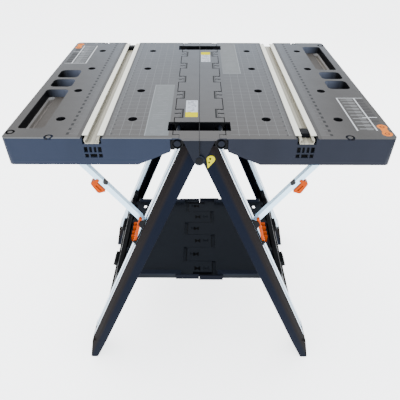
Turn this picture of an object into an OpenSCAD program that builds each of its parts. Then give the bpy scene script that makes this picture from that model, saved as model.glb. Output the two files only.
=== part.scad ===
// Folding workbench: two table leaves on a split spine, two A-frame leg sets,
// a folding shelf, and four struts that slide in channels on the legs.
// X to the right, Y to the back, Z up. The origin is on the floor, below the middle of the top.
// Left and front are the drawn side. The others are mirrored, and the right leaf is the
// left leaf turned half round.

/* [Table] */
// Width of the open top, across both leaves
top_w = 787; // [760:1:820]
// Depth of the top, front to back
top_d = 635; // [630:1:640]
// Height of the top face above the floor
top_h = 813; // [810:1:816]
// Height of the skirt round each leaf
skirt_h = 61; // [58:1:64]
// Thickness of the skirt walls
skirt_t = 4.5; // [3:0.5:5]
// Thickness of the top deck
deck_t = 5; // [4:0.5:6]
// Radius of the outer corners of a leaf
corner_r = 12; // [6:1:16]
// Where the skirt starts to rise towards the spine, from the middle
skirt_rise_x = 126; // [115:1:135]
// Height of the skirt's end above its bottom edge
skirt_rise_h = 31; // [25:1:34]

/* [Spine and hinges] */
// Half width of the spine
spine_w = 52.5; // [51:0.5:54]
// Gap between the two spine halves
spine_gap = 1; // [0.6:0.1:1.4]
// Leaf hinge axis, from the middle
hinge_x = 44.2; // [43:0.1:45]
// Depth of the leaf hinge axis below the top face
hinge_drop = 12.5; // [12:0.1:13]
// Radius of the leaf hinge rod
rod_r = 4; // [3:0.1:4.5]
// Length of each leaf knuckle along the hinge
knuckle_w = 38; // [30:1:42]
// Pitch of the knuckles
knuckle_pitch = 101.5; // [100:0.5:103]
// Number of middle knuckles
knuckles = 5; // [5:1:5]
// Drop of the main pivot below the top face
pivot_drop = 52; // [50:0.5:54]
// Radius of the main pivot boss
boss_r = 11.5; // [10:0.5:12]
// Radius of the main pivot pin
pivot_r = 5; // [4:0.5:6]
// Start of each hand slot, from the end of the top
slot_y = 33; // [30:1:34]
// Width of each hand slot
slot_w = 40; // [36:1:42]
// Half length of each hand slot
slot_x = 65; // [60:1:70]

/* [Top details] */
// Radius of the dog holes
dog_hole_r = 10; // [9.5:0.1:10.5]
// Pitch of the dog holes, front to back
dog_pitch = 154.6; // [150:0.2:158]
// Outer row of dog holes, from the middle
dog_out_x = 297; // [290:1:300]
// Inner row of dog holes, from the middle
dog_in_x = 143; // [138:1:148]
// Middle of the track, from the middle of the top
track_x = 214; // [210:1:218]
// Width over the flanges of the track
track_w = 43; // [40:1:46]
// Depth of the track below the deck face
track_h = 13; // [12:0.5:14]
// Width of the slot in the track
track_slot = 19; // [18:0.5:21]
// Outer side of the pockets, from the middle
pocket_x = 375; // [372:1:378]
// Width of the pockets
pocket_w = 55; // [50:1:58]
// Depth of the pockets
pocket_h = 34; // [28:1:35]

/* [Legs] */
// Lean of the legs from upright, degrees
lean = 23.2; // [23:0.05:23.4]
// Top of the leg's outer edge, from the middle
leg_x = 33; // [32:0.5:34]
// Drop of the leg's top below the top face
leg_drop = 24; // [23:0.5:26]
// Width of a leg, across
leg_w = 41; // [38:0.5:41]
// Depth of a leg, front to back
leg_d = 70; // [66:1:72]
// Set-back of the legs behind the ends of the top
leg_y = 22; // [20:1:24]
// Height of the foot cap
foot_h = 90; // [70:1:100]
// Chamfer along the leg's outer edge
leg_chamfer = 11; // [6:0.5:11.5]
// Depth of the metal channel let into the leg
channel_h = 12; // [10:0.5:13]
// Set-back of the channel behind the leg's face
channel_y = 12; // [10:0.5:14]
// Thickness of the channel's metal
channel_t = 2; // [1.5:0.1:2.5]

/* [Struts] */
// Strut hinge under the leaf, from the middle
strut_x = 294; // [290:1:298]
// Drop of the strut hinge below the top face
strut_drop = 45; // [43:0.5:48]
// Distance of the strut's foot down the leg
strut_foot = 255.7; // [250:0.1:260]
// Height of the strut's foot above the leg's face
strut_lift = 6; // [5.6:0.1:7]
// Side of the square strut tube
strut_s = 13; // [12:0.5:14]
// Middle of the struts behind the end of the top
strut_y = 57; // [56:0.5:58]
// Radius of the strut's pins
strut_pin_r = 3.5; // [3:0.1:4]

/* [Shelf] */
// Shelf hinge, distance down the leg
shelf_a = 567; // [560:1:574]
// Shelf hinge, depth behind the leg's outer face
shelf_e = 24; // [23:0.5:25]
// Front edge of the shelf, from the front of the top
shelf_y = 130; // [126:1:134]
// Thickness of the shelf's floor
floor_t = 3; // [2.5:0.1:3.5]
// Height of the floor above the hinge
floor_up = 5.5; // [5:0.5:7]
// Height of the rims above the hinge
rim_up = 18.5; // [16:0.5:19]
// Reach of the fingers past the middle
finger = 40; // [36:1:42]
// Root of the slots, from the middle
finger_root = 52; // [50:1:56]
// Number of finger bands
bands = 6; // [6:2:6]

/* [Hidden] */
$fn = 48;
over = 1;              // overrun of cuts, and overlap of what is joined
fit = 0.3;             // clearance beside what is let in or parked
close_fit = 0.15;      // clearance round a rod
snug = 0.05;           // clearance round a pin that is held
free = 0.1;            // clearance round a pin that turns
hinge_z = top_h - hinge_drop;
pivot_z = top_h - pivot_drop;
deck_z = top_h - deck_t;
skirt_z = top_h - skirt_h;
leaf_w = top_w / 2;
leg_z = top_h - leg_drop;
strut_z = top_h - strut_drop;
mid_gap = spine_gap / 2;
half_d = top_d / 2;
leaf_gap = 1.8;        // between the spine's edge and the leaf's deck
leaf_in = spine_w + leaf_gap;

// Leaf
knuckle_r = hinge_drop - free;
knuckle_lap = 3;       // of a knuckle into the deck
knuckle_dip = 0.4;     // of a knuckle's flat below the top face
end_knuckle = [2.2, 16];
split_w = 1.8;         // slot that splits a knuckle
split_h = 5.5;
split_reach = 4;
notch_x = 58;          // inner end of the skirt
notch_reach = 5;
front_lip = 3;         // of the deck above the end knuckles
eye_d = 3;             // ring groove round the hinge rod, seen from the end
eye_out = 10.2;
eye_in = 7.2;
shell_t = 2.5;         // walls of the tray and pockets
pocket_r = 12;
tray = [42, 247];      // along Y, from the front
tray_h = 20;
groove_w = 17;         // deep groove along the tray's outer side
groove_r = 7;
small_pockets = [[264, 315], [327, 382]];
ring_r = 9.5;          // screw ring let into the top
ring_post_r = 5;
ring_h = 3.5;
ring_corner = [10.5, 26];
ring_edge = [3, 6.5];
tube_h = 24;           // tubes below the dog holes
tube_t = 3;
rib_t = 3;             // ribs below the deck
rib_h = 20;
rib_edge = 1;
rib_in = 70;
cross_ribs = [150, 235, 400, 485];
long_ribs = [255, 180, 105];
rib_end = 110;
lug_r = 7.5;           // lugs that carry a strut's pin
lug_t = 3.5;
lug_gap = 0.6;
lug_root = 14;
pass_y = 12;           // notch in the skirt that lets a strut pass
pass_h = 24;
grille_w = 20;
grille_top = [19.5, 32];
grille_low = [35.5, 44];
grille_top_shares = [[-0.9, -0.525], [-0.375, -0.1], [0.1, 0.35], [0.5, 0.875]];
grille_low_shares = [[-0.9, -0.5], [-0.35, 0.35], [0.5, 0.9]];
hand_slot_h = 20;
baffle = [14, 2.5, 24, 50];  // behind the grille: set-back, thickness, half width, drop
end_web = [8, 2.5, 62, 50];  // behind the end knuckle: set-back, thickness, from x to x

// Track
flange_t = 1.5;
track_body = 15;       // half width of the body
track_gap = 0.5;
track_in = 13;         // half width of the inner channel
track_floor = 2.5;
track_roof = 4;
track_seat = 0.02;     // clearance below the track
track_end = 0.5;       // set-back of the track's ends
neck = [14, 2.5];      // lower end of the track: length, drop
nick = [1.5, 4];       // step along the track's lower corners
trough_t = 2;          // trough that carries the track
trough_floor = 3;
mouth = [19, 18, 4];   // widening at each end: half width, reach, corner radius
stop_y = [24, 46];     // stop, from the far end
stop_gap = [0.4, 0.5]; // clearance beside it, and below the top face
stop_floor = 0.2;
stop_neck = 9;
stop_h = 4;
stop_key = [7, 4, 6];  // raised key: reach to both sides, inset from the stop's ends

// Spine
recess_gap = 0.8;      // round the knuckles
recess_side = [1.6, 2];
recess_drop = 14;
recess_reach = 5;
tube_r = 8;            // tube round the hinge rod
spine_tube_y = 18;
spine_tube_in = 30;
web_t = 4;             // plate along the middle
web_y = 9;
web_drop = 9;          // of the plate's edge above the pivot
gusset = [6, 30, 18];  // thickness, top width, foot width
hanger_gap = [0.5, 1]; // beside the hand slot
hanger_lap = 1;
spine_ribs = [165, 267, 368, 470];
spine_rib = [2, 4];    // half thickness, drop below the hinge
slot_floor = 0.5;
label_h = 0.6;         // shallow inlay for a label plate
label_x = [3.5, 31];
label_y = [96, 184];
label_r = 1.5;

// Main pivot
bracket_t = 3.5;
bracket_ys = [1, 5];
bracket_neck = 0.6;
bracket_drop = [5, 4.5];
pin_y = [0.3, 9.5];
pin_head = [0.1, 0.9, 7.5];
rod_end = 0.9;
rod_head = [0.6, 2, 6.5];

// Legs
wall = 4;
leg_top = [8, 9];      // leg's inner corner below the pivot: at the middle, at its inner edge
channel_top = 6;
channel_foot = 13;
channel_mouth = 5;
channel_back = 2;
channel_lip = 2;
runner_gap = 17;       // slot in the channel for the strut's foot
hollow_y = 6;
hollow_a = [62, 12];
foot_out = [21, 23, 4];
foot_in = [3, 5];
rail_t = 14;
rail_z = [-30.4, 33.6];  // about the shelf's hinge
rail_low = [5, 30];      // middle part: top above the hinge, start behind the leg
rail_frame = [14, 9, 4];
rail_rib = [4, 2, 1];
rail_rib_y = [100, 60];
hook_y = [209, 255];
hook_z = [-30.4, -12.4];
hook_t = [2, 9];

// Shelf
shelf_lip = 1.5;       // lower edge below the hinge
shelf_rod_r = 5;
knuckle = [8, 10, 16, 1];
shelf_knuckle_w = 16;
shelf_knuckle_y = [4, 110];
shelf_in = [4.3, 10, 12];  // clearance from the hinge of floor, rims and ribs
band_gap = 0.6;
flap = [1.2, 0.2, 4, 2.5]; // below the slots: thickness, clearance, lap, gap to the finger tip
hand_hole = [20, 17];  // opening behind the front lips: half width, depth
rim = [4, 16, 13, 3];  // wall, width of the roll, start of its inner wall, thickness
rim_end = 4;
lip_ys = [3.5, 7];     // set-back of each half's front lip
lip_t = 3;
lip_root = [20, 6];
rib_half = 4;
key = [[52, 56], [66, 70], 7, 2.5, 2];
drain = [[197, 207], 34, 8, 4.9];
dog_x = 214;           // parked dogs
dog_gap = 22;
dog_r = 9.5;
socket_r = 14;
socket_h = 4;
dog_h = 17.5;
dog_head = [12.5, 14, 24];
dog_notch = [5, 9, 15];
dog_seat = 0.2;

// Struts
tube_wall = 1.5;
tip = 5;
tube_end = 22;
runner_r = 5.2;
cut_back = [9, 10, 4.5];
pin_head_t = 1.2;
pin_head_r = 5.5;
trig_s = [105, 143];   // trigger, along the strut
trig_w = 8;
ear_t = 1.1;
ear = [5, 4, 1, 9, 10];
trig_t = [8.5, 11, 25, 27.5, 23, 20, 10];
trig_in = [2, 3, 5, 9, 3];
trig_groove = [12, 8, 15, 17.5];
trig_room = [0.4, 12];
latch_in = 3.5;        // latch, behind the channel's edge
latch_w = 7;
latch_a = [62, -12];
latch_e = [4.5, 15];
latch_r = [4, 3.7, 2.1];
latch_side = [3.4, 1.4];
cheek_t = 2.5;
cheek_gap = 0.3;
cheek_a = [-20, 70];
cheek_e = [0.05, 2, 3];
cheek_ear = [-20, 12, 4, -8, 14];
cheek_eye = 4.4;
latch_pin = [2, 8];
latch_washer = [7.2, 4];

// A point on a leg: a along the outer edge from its top, e outwards from it
function on_leg(a, e) = [-leg_x - a * sin(lean) - e * cos(lean), leg_z - a * cos(lean) + e * sin(lean)];
// Distance along the leg of a point at height z
function at_z(z, e) = (leg_z + e * sin(lean) - z) / cos(lean);
// The strut's hinge, its foot, and a point s along it and t outwards below it
strut_u = [-strut_x, strut_z];
strut_f = on_leg(strut_foot, strut_lift);
strut_len = norm(strut_f - strut_u);
strut_dir = (strut_f - strut_u) / strut_len;
function on_strut(s, t) = strut_u + s * strut_dir + t * [strut_dir[1], -strut_dir[0]];
shelf_p = on_leg(shelf_a, -shelf_e);
shelf_end = top_d - shelf_y;
floor_z = shelf_p[1] + floor_up;
rim_z = shelf_p[1] + rim_up;
lip_z = shelf_p[1] - shelf_lip;
band_w = (top_d - 2 * shelf_y) / bands;
latch_y = leg_y + channel_y + latch_in;
latch_p = on_leg(strut_foot + latch_a[0], latch_e[0]);
latch_tip = on_leg(strut_foot + latch_a[1], latch_e[1]);

// Helpers

// Extrudes a profile, drawn as X and Z, from y0 to y1 behind the front of the top
module run(y0, y1) {
    translate([0, y1 - half_d, 0]) rotate([90, 0, 0]) linear_extrude(y1 - y0) children();
}
// A flat plate from z0 to z1, drawn as X and Y from the front of the top
module plate(z0, z1) {
    translate([0, -half_d, z0]) linear_extrude(z1 - z0) children();
}
module rect(x0, y0, x1, y1) { translate([x0, y0]) square([x1 - x0, y1 - y0]); }
// A rectangle with round corners
module rrect(x0, y0, x1, y1, r) {
    rect(x0 + r, y0, x1 - r, y1);
    rect(x0, y0 + r, x1, y1 - r);
    for (x = [x0 + r, x1 - r], y = [y0 + r, y1 - r]) translate([x, y]) circle(r);
}
module disc(p, r) { translate(p) circle(r); }
module at_back() { mirror([0, 1, 0]) children(); }
module at_right() { mirror([1, 0, 0]) children(); }
module both_ends() { children(); at_back() children(); }
module leg_slab(a0, a1, e0, e1) {
    polygon([on_leg(a0, e0), on_leg(a1, e0), on_leg(a1, e1), on_leg(a0, e1)]);
}
module strut_slab(s0, s1, t0, t1) {
    polygon([on_strut(s0, t0), on_strut(s1, t0), on_strut(s1, t1), on_strut(s0, t1)]);
}
// Middles of the middle knuckles along Y, from the front
knuckle_ys = [for (i = [0 : knuckles - 1]) half_d + (i - (knuckles - 1) / 2) * knuckle_pitch];
dog_ys = [for (i = [0 : 3]) half_d + (i - 1.5) * dog_pitch];

// Leaf

module knuckle_profile() {
    disc([-hinge_x, hinge_z], knuckle_r);
    rect(-leaf_in - knuckle_lap, deck_z + over, -hinge_x, top_h - knuckle_dip);
}
// Screw boss let into the top, a ring round a post
module screw_ring(x, y) {
    plate(top_h - ring_h, top_h + over) difference() {
        disc([x, y], ring_r);
        disc([x, y], ring_post_r);
    }
}
module leaf_outline(t) {
    rrect(-leaf_w + t, t, -leaf_w + 3 * corner_r, top_d - t, corner_r);
    rect(-leaf_w + 2 * corner_r, t, -leaf_in, top_d - t);
}
// A hollow of the given width and depth behind the pockets' outer side, and the shell round it
module hollow(y0, y1, w, h, r) {
    plate(top_h - h, top_h + over) rrect(-pocket_x, y0, -pocket_x + w, y1, r);
}
module shell(y0, y1, w, h, r) {
    plate(top_h - h - shell_t, deck_z + over)
        rrect(-pocket_x - shell_t, y0 - shell_t, -pocket_x + w + shell_t, y1 + shell_t, r + shell_t);
}
// Lugs that carry a strut's hinge pin
module strut_lugs() {
    for (y = [strut_y - strut_s / 2 - lug_gap - lug_t, strut_y + strut_s / 2 + lug_gap])
        run(y, y + lug_t) {
            disc(strut_u, lug_r);
            polygon([[-strut_x - lug_root, deck_z + over], [-strut_x + lug_root, deck_z + over],
                [-strut_x + lug_r, strut_z], [-strut_x - lug_r, strut_z]]);
        }
}
// Openings in the skirt below the track, two rows
module grille() {
    run(-over, skirt_t + over) translate([-track_x, 0]) {
        for (c = grille_top_shares)
            rect(c[0] * grille_w, top_h - grille_top[1], c[1] * grille_w, top_h - grille_top[0]);
        for (c = grille_low_shares)
            rect(c[0] * grille_w, top_h - grille_low[1], c[1] * grille_w, top_h - grille_low[0]);
    }
}
module leaf() {
    difference() {
        union() {
            difference() {
                plate(skirt_z, top_h) leaf_outline(0);
                plate(skirt_z - over, deck_z) leaf_outline(skirt_t);
            }
            // Knuckles on the hinge
            both_ends() run(end_knuckle[0], end_knuckle[1]) knuckle_profile();
            for (y = knuckle_ys) run(y - knuckle_w / 2, y + knuckle_w / 2) knuckle_profile();
            // Tubes below the dog holes
            for (x = [dog_out_x, dog_in_x], y = dog_ys)
                plate(top_h - tube_h, deck_z + over) disc([-x, y], dog_hole_r + tube_t);
            // Trough that carries the track
            run(skirt_t - over, top_d - skirt_t + over)
                rect(-track_x - track_w / 2 - trough_t, top_h - track_h - trough_floor,
                    -track_x + track_w / 2 + trough_t, deck_z + over);
            shell(tray[0], tray[1], pocket_w, tray_h, pocket_r);
            shell(tray[0], tray[1], groove_w, pocket_h, groove_r);
            for (p = small_pockets) shell(p[0], p[1], pocket_w, pocket_h, pocket_r);
            both_ends() {
                strut_lugs();
                run(baffle[0], baffle[0] + baffle[1]) rect(-track_x - baffle[2], top_h - baffle[3],
                    -track_x + baffle[2], top_h - track_h - over);
            }
            both_ends() run(end_web[0], end_web[0] + end_web[1])
                rect(-end_web[2], skirt_z + skirt_rise_h, -end_web[3], deck_z + over);
            // Stiffening ribs, clear of the legs and struts
            for (y = cross_ribs) run(y - rib_t / 2, y + rib_t / 2)
                rect(-leaf_w + rib_edge, top_h - rib_h, -rib_in, deck_z + over);
            for (x = long_ribs) plate(top_h - rib_h, deck_z + over)
                rect(-x - rib_t / 2, rib_end, -x + rib_t / 2, top_d - rib_end);
        }
        // Lower edge of the skirt rises towards the spine
        run(-over, top_d + over) polygon([[-skirt_rise_x, skirt_z], [-skirt_rise_x, skirt_z - over],
            [0, skirt_z - over], [0, skirt_z + skirt_rise_h], [-notch_x, skirt_z + skirt_rise_h]]);
        both_ends() run(-over, end_knuckle[0]) rect(-notch_x, skirt_z, 0, top_h - front_lip);
        both_ends() run(-over, skirt_t + over)
            difference() {
                rect(-notch_x, skirt_z, -leaf_in + notch_reach, top_h - front_lip);
                disc([-hinge_x, hinge_z], knuckle_r);
            }
        // Bore of the hinge, and the slots that split the knuckles
        run(-over, top_d + over) disc([-hinge_x, hinge_z], rod_r + close_fit);
        for (y = knuckle_ys) run(y - split_w / 2, y + split_w / 2)
            rect(-leaf_in, hinge_z + split_h, -hinge_x + split_reach, top_h + over);
        both_ends() run(0, end_knuckle[0] + eye_d) difference() {
            disc([-hinge_x, hinge_z], eye_out);
            disc([-hinge_x, hinge_z], eye_in);
        }
        // Hand slots
        both_ends() plate(top_h - hand_slot_h, top_h + over) rect(-slot_x, slot_y, 0, slot_y + slot_w);
        // Dog holes
        for (x = [dog_out_x, dog_in_x], y = dog_ys)
            plate(top_h - tube_h - over, top_h + over) disc([-x, y], dog_hole_r);
        // Track: recess for the flanges, channel, and the cut-outs at its two ends
        run(-over, top_d + over) {
            rect(-track_x - track_w / 2 - fit, top_h - flange_t, -track_x + track_w / 2 + fit, top_h + over);
            rect(-track_x - track_body - track_gap, top_h - track_h,
                -track_x + track_body + track_gap, top_h + over);
        }
        both_ends() plate(top_h - track_h, top_h + over)
            rrect(-track_x - mouth[0], -2 * corner_r, -track_x + mouth[0], mouth[1], mouth[2]);
        grille();
        at_back() grille();
        hollow(tray[0], tray[1], pocket_w, tray_h, pocket_r);
        hollow(tray[0], tray[1], groove_w, pocket_h, groove_r);
        for (p = small_pockets) hollow(p[0], p[1], pocket_w, pocket_h, pocket_r);
        // Screw rings: one in a corner, two that break the front and back edges
        screw_ring(-leaf_w + ring_corner[0], ring_corner[1]);
        screw_ring(-dog_out_x - ring_edge[0], ring_edge[1]);
        screw_ring(-dog_out_x - ring_edge[0], top_d - ring_edge[1]);
        // Strut pins, and notches that let the struts pass when the leaf hangs
        both_ends() run(strut_y - pass_y, strut_y + pass_y) {
            disc(strut_u, strut_pin_r + snug);
            rect(-leaf_w - over, skirt_z - over, -leaf_w + skirt_t + over, skirt_z + pass_h);
        }
    }
}
module track() {
    run(track_end, top_d - track_end) difference() {
        union() {
            rect(-track_x - track_w / 2, top_h - flange_t + track_seat, -track_x + track_w / 2, top_h);
            rect(-track_x - track_body, top_h - track_h + track_seat, -track_x + track_body, top_h - over);
        }
        rect(-track_x - track_slot / 2, top_h - track_h / 2, -track_x + track_slot / 2, top_h + over);
        rect(-track_x - track_in, top_h - track_h + track_floor, -track_x + track_in, top_h - track_roof);
        for (s = [-1, 1]) translate([-track_x + s * (track_body + track_gap), 0])
            rect(-nick[0], top_h - track_h - over, nick[0], top_h - track_h + nick[1]);
    }
}
// Track with its ends cut down to a neck
module necked_track() {
    difference() {
        track();
        both_ends() run(-over, neck[0])
            rect(-track_x - track_w, top_h - neck[1], -track_x + track_w, top_h + over);
    }
}
// Stop in the far end of the track
module track_stop() {
    z = top_h - track_h + track_floor + stop_floor;
    run(top_d - stop_y[1], top_d - stop_y[0]) {
        rect(-track_x - track_in + stop_gap[0], z, -track_x + track_in - stop_gap[0], z + stop_h);
        rect(-track_x - stop_neck, z + stop_h - over, -track_x + stop_neck, top_h - stop_gap[1]);
    }
    run(top_d - stop_y[1] + stop_key[2], top_d - stop_y[0] - stop_key[2])
        rect(-track_x - stop_key[0], top_h - over, -track_x + stop_key[1], top_h - stop_floor);
}

// Spine

module spine_recess(y0, y1) {
    run(y0, y1) {
        disc([-hinge_x, hinge_z], knuckle_r + recess_gap);
        rect(-spine_w - recess_reach, hinge_z - recess_drop, -hinge_x, top_h + over);
    }
}
module spine() {
    difference() {
        union() {
            run(0, top_d) rect(-spine_w, deck_z, -mid_gap, top_h);
            run(spine_tube_y, top_d - spine_tube_y) {
                disc([-hinge_x, hinge_z], tube_r);
                rect(-spine_w, hinge_z, -spine_tube_in, deck_z + over);
            }
            run(web_y, top_d - web_y) rect(-web_t, pivot_z + web_drop, -mid_gap, deck_z + over);
            both_ends() {
                run(web_y, web_y + gusset[0]) polygon([[-gusset[1], deck_z + over],
                    [-mid_gap, deck_z + over], [-mid_gap, pivot_z + web_drop],
                    [-gusset[2], pivot_z + web_drop]]);
                // Hangers above the leg
                for (y = [[leg_y, slot_y - hanger_gap[0]],
                        [slot_y + slot_w + hanger_gap[1], leg_y + leg_d]])
                    run(y[0], y[1]) rect(-leg_x - hanger_lap, leg_z, -mid_gap, deck_z + over);
            }
            // Cross ribs below the deck
            for (y = spine_ribs) run(y - spine_rib[0], y + spine_rib[0])
                rect(-spine_w + spine_rib[0], hinge_z - spine_rib[1], -mid_gap, deck_z + over);
        }
        run(-over, top_d + over) disc([-hinge_x, hinge_z], rod_r + snug);
        both_ends() spine_recess(-over, end_knuckle[1] + recess_side[1]);
        for (y = knuckle_ys)
            spine_recess(y - knuckle_w / 2 - recess_side[0], y + knuckle_w / 2 + recess_side[0]);
        both_ends() plate(leg_z + slot_floor, top_h + over) rect(-slot_x, slot_y, over, slot_y + slot_w);
        // Shallow inlay for a label plate
        plate(top_h - label_h, top_h + over)
            rrect(-label_x[1], label_y[0], -label_x[0], label_y[1], label_r);
    }
}
// End plate with the eye of the main pivot
module hinge_bracket(y0) {
    both_ends() run(y0, y0 + bracket_t) difference() {
        union() {
            polygon([[-leg_x, deck_z], [-mid_gap, deck_z], [-mid_gap, pivot_z + bracket_drop[0]],
                [-boss_r + bracket_neck, pivot_z - bracket_drop[1]]]);
            disc([0, pivot_z], boss_r);
        }
        disc([0, pivot_z], pivot_r + free);
    }
}
module pivot_pins() {
    both_ends() {
        run(pin_y[0], pin_y[1]) disc([0, pivot_z], pivot_r);
        run(pin_head[0], pin_head[1]) disc([0, pivot_z], pin_head[2]);
    }
}
module hinge_rod() {
    run(rod_end, top_d - rod_end) disc([-hinge_x, hinge_z], rod_r);
    both_ends() run(rod_head[0], rod_head[1]) disc([-hinge_x, hinge_z], rod_head[2]);
}

// Legs

module leg() {
    foot_out_a = at_z(foot_h, 0);
    foot_in_a = at_z(foot_h, -leg_w);
    difference() {
        run(leg_y, leg_y + leg_d) polygon([on_leg(0, 0), [-wall, leg_z],
            [-wall, pivot_z - leg_top[0]], on_leg(at_z(pivot_z - leg_top[1], -leg_w), -leg_w),
            on_leg(foot_in_a, -leg_w), on_leg(foot_out_a, 0)]);
        // Chamfer along the outer front edge
        translate([-leg_x, leg_y - half_d, leg_z]) rotate([0, lean, 0]) rotate([0, 0, 45])
            cube([leg_chamfer * sqrt(2), leg_chamfer * sqrt(2), 2.2 * top_h], center = true);
        // Seat of the metal channel, and the open hollow behind the face
        run(leg_y + channel_y, leg_y + leg_d + over)
            leg_slab(channel_top, foot_out_a - channel_foot / cos(lean), -channel_h, 2 * over);
        run(leg_y + hollow_y, leg_y + leg_d + over)
            leg_slab(hollow_a[0], foot_out_a - hollow_a[1], -leg_w + wall, -channel_h - wall);
    }
}
// Metal channel let into the leg, open along its outer face
module channel() {
    end = leg_y + leg_d - channel_back;
    long = at_z(foot_h - channel_mouth, 0);
    difference() {
        run(leg_y + channel_y, end)
            leg_slab(channel_top, at_z(foot_h + channel_foot, 0), -channel_h, 0);
        run(leg_y + channel_y + channel_t, end - channel_t)
            leg_slab(-over, long, -channel_h + channel_t, -channel_lip);
        run(strut_y - runner_gap / 2, strut_y + runner_gap / 2)
            leg_slab(-over, long, -channel_h + channel_t, over);
    }
}
module foot() {
    outer = on_leg(at_z(0, 0), 0)[0];
    inner = on_leg(at_z(0, -leg_w), -leg_w)[0];
    run(leg_y, leg_y + leg_d) polygon([on_leg(at_z(foot_h, 0), 0), [outer + foot_out[0], foot_out[2]],
        [outer + foot_out[1], 0], [inner - foot_in[0], 0], [inner, foot_in[1]],
        on_leg(at_z(foot_h, -leg_w), -leg_w)]);
}
// Plank between the front and back legs
module side_rail() {
    a1 = at_z(shelf_p[1] + rail_z[0], 0);
    a0 = shelf_a - rail_low[0];
    y0 = leg_y + leg_d;
    difference() {
        run(y0, top_d - y0) leg_slab(a0, a1, -rail_t, 0);
        run(y0 + rail_frame[0], top_d - y0 - rail_frame[0])
            leg_slab(a0 + rail_frame[1], a1 - rail_frame[1], -rail_t + rail_frame[2], over);
    }
    // The ends rise beside the legs
    both_ends() run(y0, y0 + rail_low[1])
        leg_slab(at_z(shelf_p[1] + rail_z[1], 0), a0 + over, -rail_t, 0);
    both_ends() for (y = [y0 + rail_rib_y[0], half_d - rail_rib_y[1]]) run(y, y + rail_rib[0])
        leg_slab(a0 + rail_rib[1], a1 - rail_rib[1], -rail_t + rail_rib[2], 0);
    // Hooks on the outer side
    both_ends() run(hook_y[0], hook_y[1])
        leg_slab(at_z(shelf_p[1] + hook_z[1], 0), at_z(shelf_p[1] + hook_z[0], 0), -hook_t[0], hook_t[1]);
}

// Shelf

module floor_run(y0, y1, x1) {
    run(y0, y1) rect(shelf_p[0] + shelf_in[0], floor_z, x1, floor_z + floor_t);
}
module shelf_knuckle(y) {
    run(y, y + shelf_knuckle_w) {
        disc(shelf_p, knuckle[0]);
        polygon([[shelf_p[0], shelf_p[1] - knuckle[0]],
            [shelf_p[0] + knuckle[1], shelf_p[1] - knuckle[3]],
            [shelf_p[0] + knuckle[2], floor_z + over], [shelf_p[0], floor_z + over]]);
    }
}
// Keyhole marks, from the ends of the other half's fingers
module keyhole(y) {
    plate(floor_z + floor_t - key[4], floor_z + floor_t + over) {
        for (x = [key[0], key[1]]) rect(-finger + x[0], y - key[2], -finger + x[1], y + key[2]);
        rect(-finger + key[0][0] + over, y - key[3], -finger + key[1][1] - over, y + key[3]);
    }
}
module shelf(lip_y) {
    x0 = shelf_p[0] + shelf_in[1];
    x1 = -finger_root - rim_end;
    difference() {
        union() {
            floor_run(shelf_y, shelf_end, -finger_root);
            for (i = [0 : 2 : bands - 1])
                floor_run(shelf_y + (i == 0 ? hand_hole[1] : i * band_w + band_gap),
                    shelf_y + (i + 1) * band_w - band_gap, finger);
            floor_run(shelf_y + band_gap, shelf_y + hand_hole[1] + over, -hand_hole[0]);
            // Rims along the front and the back, rolled inwards
            both_ends() {
                run(shelf_y, shelf_y + rim[0]) rect(x0, lip_z, x1, rim_z);
                run(shelf_y, shelf_y + rim[1]) rect(x0, rim_z - rim[3], x1, rim_z);
                run(shelf_y + rim[2], shelf_y + rim[1]) rect(x0, floor_z, x1, rim_z);
                // Lips that carry on to the middle, one in front of the other
                run(lip_y, lip_y + lip_t) rect(-finger_root - lip_root[0], lip_z, -mid_gap, rim_z - over);
                run(lip_y, shelf_y + over)
                    rect(-finger_root - lip_root[0], lip_z, -finger_root - lip_root[1], rim_z - over);
                for (y = shelf_knuckle_y) shelf_knuckle(shelf_y + y);
            }
            // Ribs below the floor
            for (i = [1 : bands - 1])
                run(shelf_y + i * band_w - rib_half, shelf_y + i * band_w + rib_half)
                    rect(shelf_p[0] + shelf_in[2], lip_z, x1, floor_z + over);
            // Thin flaps that close the slots from below
            for (i = [1 : 2 : bands - 1])
                run(shelf_y + i * band_w + band_gap, shelf_y + (i + 1) * band_w - band_gap) {
                    rect(-finger_root - flap[2], floor_z - flap[0] - flap[1],
                        -finger - flap[3], floor_z - flap[1]);
                    rect(-finger_root - flap[2], floor_z - flap[0] - flap[1], -finger_root, floor_z + over);
                }
            for (s = [-1, 1]) plate(floor_z - socket_h, floor_z + over)
                disc([-dog_x, half_d + s * dog_gap], socket_r);
        }
        run(0, top_d) disc(shelf_p, shelf_rod_r + close_fit);
        for (s = [-1, 1]) plate(floor_z - socket_h - over, rim_z + over)
            disc([-dog_x, half_d + s * dog_gap], dog_r + fit);
        for (i = [0 : 2 : bands - 1]) keyhole(shelf_y + (i + 0.5) * band_w);
        // Drain holes in the outer corners
        for (y = [shelf_y + drain[1], shelf_end - drain[1]]) plate(lip_z - over, rim_z + over)
            rrect(-drain[0][1], y - drain[2], -drain[0][0], y + drain[2], drain[3]);
    }
}
module shelf_rod() { run(leg_y + hollow_y, top_d - leg_y - hollow_y) disc(shelf_p, shelf_rod_r); }

// Bench dog, parked in the shelf
module dog(s) {
    translate([-dog_x, s * dog_gap, floor_z]) {
        translate([0, 0, -dog_h]) cylinder(r = dog_r, h = dog_h + floor_t + fit);
        translate([-dog_head[0], -dog_head[1], floor_t + dog_seat]) difference() {
            cube([2 * dog_head[0], 2 * dog_head[1], dog_head[2]]);
            translate([-over, dog_head[1] - dog_notch[0], dog_notch[2]])
                cube([2 * dog_head[0] + 2 * over, 2 * dog_notch[0], dog_notch[1] + over]);
        }
    }
}

// Struts and their locks

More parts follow.
